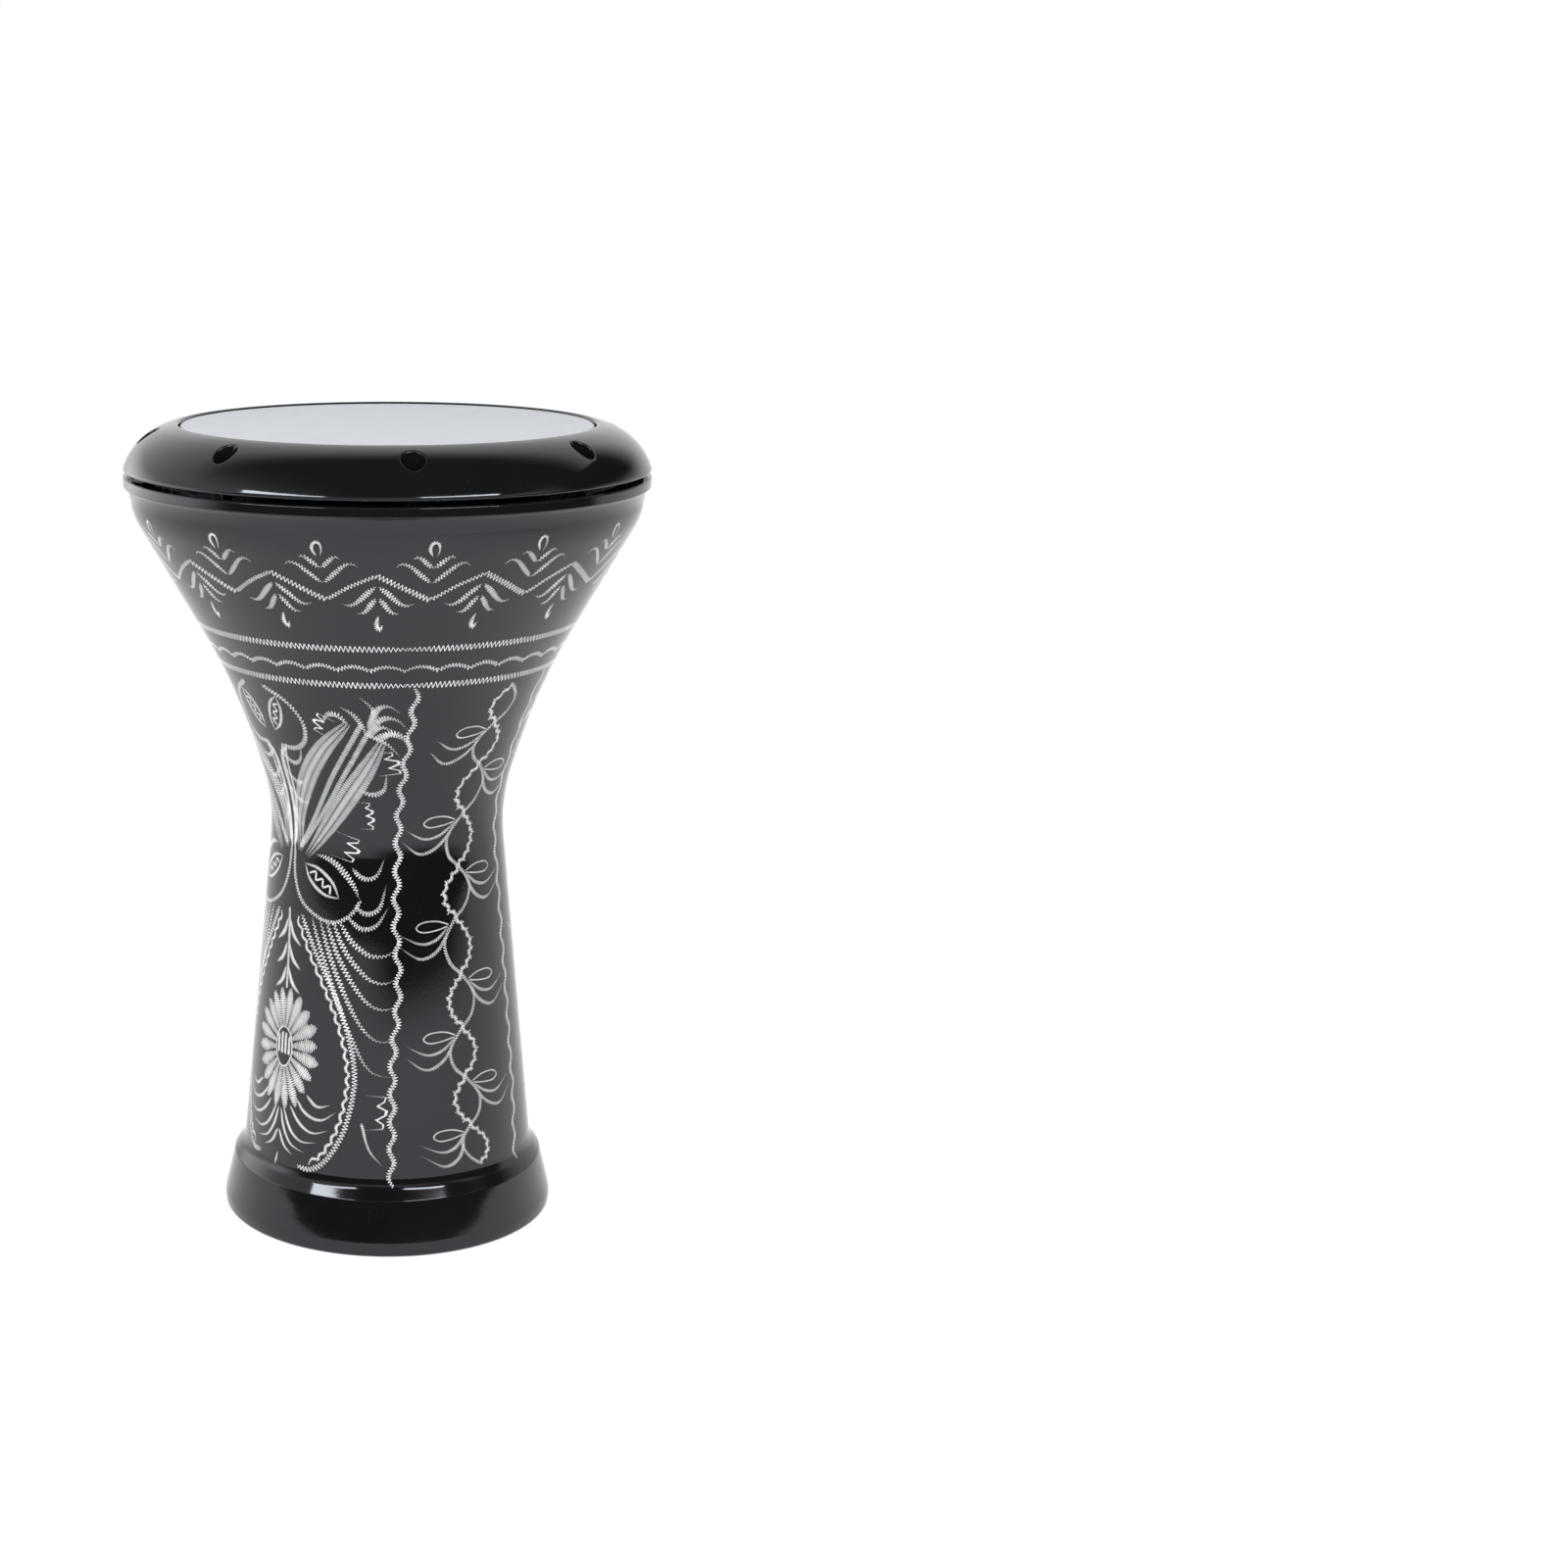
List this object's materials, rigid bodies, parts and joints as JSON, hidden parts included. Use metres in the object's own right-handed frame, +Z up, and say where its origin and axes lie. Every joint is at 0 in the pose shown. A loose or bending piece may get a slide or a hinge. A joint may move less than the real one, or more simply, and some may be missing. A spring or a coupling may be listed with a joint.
{
  "type": "darbuka",
  "caption": "Goblet hand drum: cast shell with a flared bowl, waist, skirt and open foot, film head and a bolted rounded tuning ring.",
  "frame": {"origin": "centre of the foot rim, on the floor", "axes": "+Z up along the drum's axis towards the head, -Y towards the first tuning bolt at the front"},
  "size_m": [0.2789, 0.279, 0.4342],
  "materials": {
    "shell_enamel": "high-gloss black enamel with bright cut engraving",
    "ring_enamel": "high-gloss black enamel",
    "film": "matt translucent white film",
    "hoop_metal": "plain rolled aluminium",
    "resin": "cast resin",
    "bolt_steel": "black-oxide steel",
    "washer_steel": "zinc-plated steel",
    "insert_steel": "plain steel"
  },
  "bodies": {
    "shell": {"shell": "shell_enamel", "thread_insert_1": "insert_steel", "thread_insert_2": "insert_steel", "thread_insert_3": "insert_steel", "thread_insert_4": "insert_steel", "thread_insert_5": "insert_steel", "thread_insert_6": "insert_steel", "thread_insert_7": "insert_steel", "thread_insert_8": "insert_steel"},
    "tuning_ring": {"tuning_ring": "ring_enamel", "washer_1": "washer_steel", "washer_2": "washer_steel", "washer_3": "washer_steel", "washer_4": "washer_steel", "washer_5": "washer_steel", "washer_6": "washer_steel", "washer_7": "washer_steel", "washer_8": "washer_steel"},
    "head": {"head_film": "film", "head_hoop": "hoop_metal", "head_resin": "resin"},
    "tuning_bolt_1": {"tuning_bolt_1": "bolt_steel"},
    "tuning_bolt_2": {"tuning_bolt_2": "bolt_steel"},
    "tuning_bolt_3": {"tuning_bolt_3": "bolt_steel"},
    "tuning_bolt_4": {"tuning_bolt_4": "bolt_steel"},
    "tuning_bolt_5": {"tuning_bolt_5": "bolt_steel"},
    "tuning_bolt_6": {"tuning_bolt_6": "bolt_steel"},
    "tuning_bolt_7": {"tuning_bolt_7": "bolt_steel"},
    "tuning_bolt_8": {"tuning_bolt_8": "bolt_steel"}
  },
  "joints": [
    {"name": "ring_lift", "type": "slide", "parent": "shell", "child": "tuning_ring", "axis": [0, 0, 1], "range_m": [0, 0.024]},
    {"name": "head_lift", "type": "slide", "parent": "shell", "child": "head", "axis": [0, 0, 1], "range_m": [0, 0.0096]},
    {"name": "bolt_turn_1", "type": "hinge", "parent": "tuning_ring", "child": "tuning_bolt_1", "pos_m": [0, -0.1256, 0.4142], "axis": [0, 0, 1], "range_deg": [0, 8641]},
    {"name": "bolt_turn_2", "type": "hinge", "parent": "tuning_ring", "child": "tuning_bolt_2", "pos_m": [0.08881, -0.08881, 0.4142], "axis": [0, 0, 1], "range_deg": [0, 8641]},
    {"name": "bolt_turn_3", "type": "hinge", "parent": "tuning_ring", "child": "tuning_bolt_3", "pos_m": [0.1256, 0, 0.4142], "axis": [0, 0, 1], "range_deg": [0, 8641]},
    {"name": "bolt_turn_4", "type": "hinge", "parent": "tuning_ring", "child": "tuning_bolt_4", "pos_m": [0.08881, 0.08881, 0.4142], "axis": [0, 0, 1], "range_deg": [0, 8641]},
    {"name": "bolt_turn_5", "type": "hinge", "parent": "tuning_ring", "child": "tuning_bolt_5", "pos_m": [0, 0.1256, 0.4142], "axis": [0, 0, 1], "range_deg": [0, 8641]},
    {"name": "bolt_turn_6", "type": "hinge", "parent": "tuning_ring", "child": "tuning_bolt_6", "pos_m": [-0.08881, 0.08881, 0.4142], "axis": [0, 0, 1], "range_deg": [0, 8641]},
    {"name": "bolt_turn_7", "type": "hinge", "parent": "tuning_ring", "child": "tuning_bolt_7", "pos_m": [-0.1256, 0, 0.4142], "axis": [0, 0, 1], "range_deg": [0, 8641]},
    {"name": "bolt_turn_8", "type": "hinge", "parent": "tuning_ring", "child": "tuning_bolt_8", "pos_m": [-0.08881, -0.08881, 0.4142], "axis": [0, 0, 1], "range_deg": [0, 8641]}
  ],
  "couplings": [
    {"joint": "head_lift", "follows": "ring_lift", "ratio": 0.4},
    {"joint": "bolt_turn_1", "follows": "ring_lift", "rad_per_m": 6283.2},
    {"joint": "bolt_turn_2", "follows": "ring_lift", "rad_per_m": 6283.2},
    {"joint": "bolt_turn_3", "follows": "ring_lift", "rad_per_m": 6283.2},
    {"joint": "bolt_turn_4", "follows": "ring_lift", "rad_per_m": 6283.2},
    {"joint": "bolt_turn_5", "follows": "ring_lift", "rad_per_m": 6283.2},
    {"joint": "bolt_turn_6", "follows": "ring_lift", "rad_per_m": 6283.2},
    {"joint": "bolt_turn_7", "follows": "ring_lift", "rad_per_m": 6283.2},
    {"joint": "bolt_turn_8", "follows": "ring_lift", "rad_per_m": 6283.2}
  ]
}
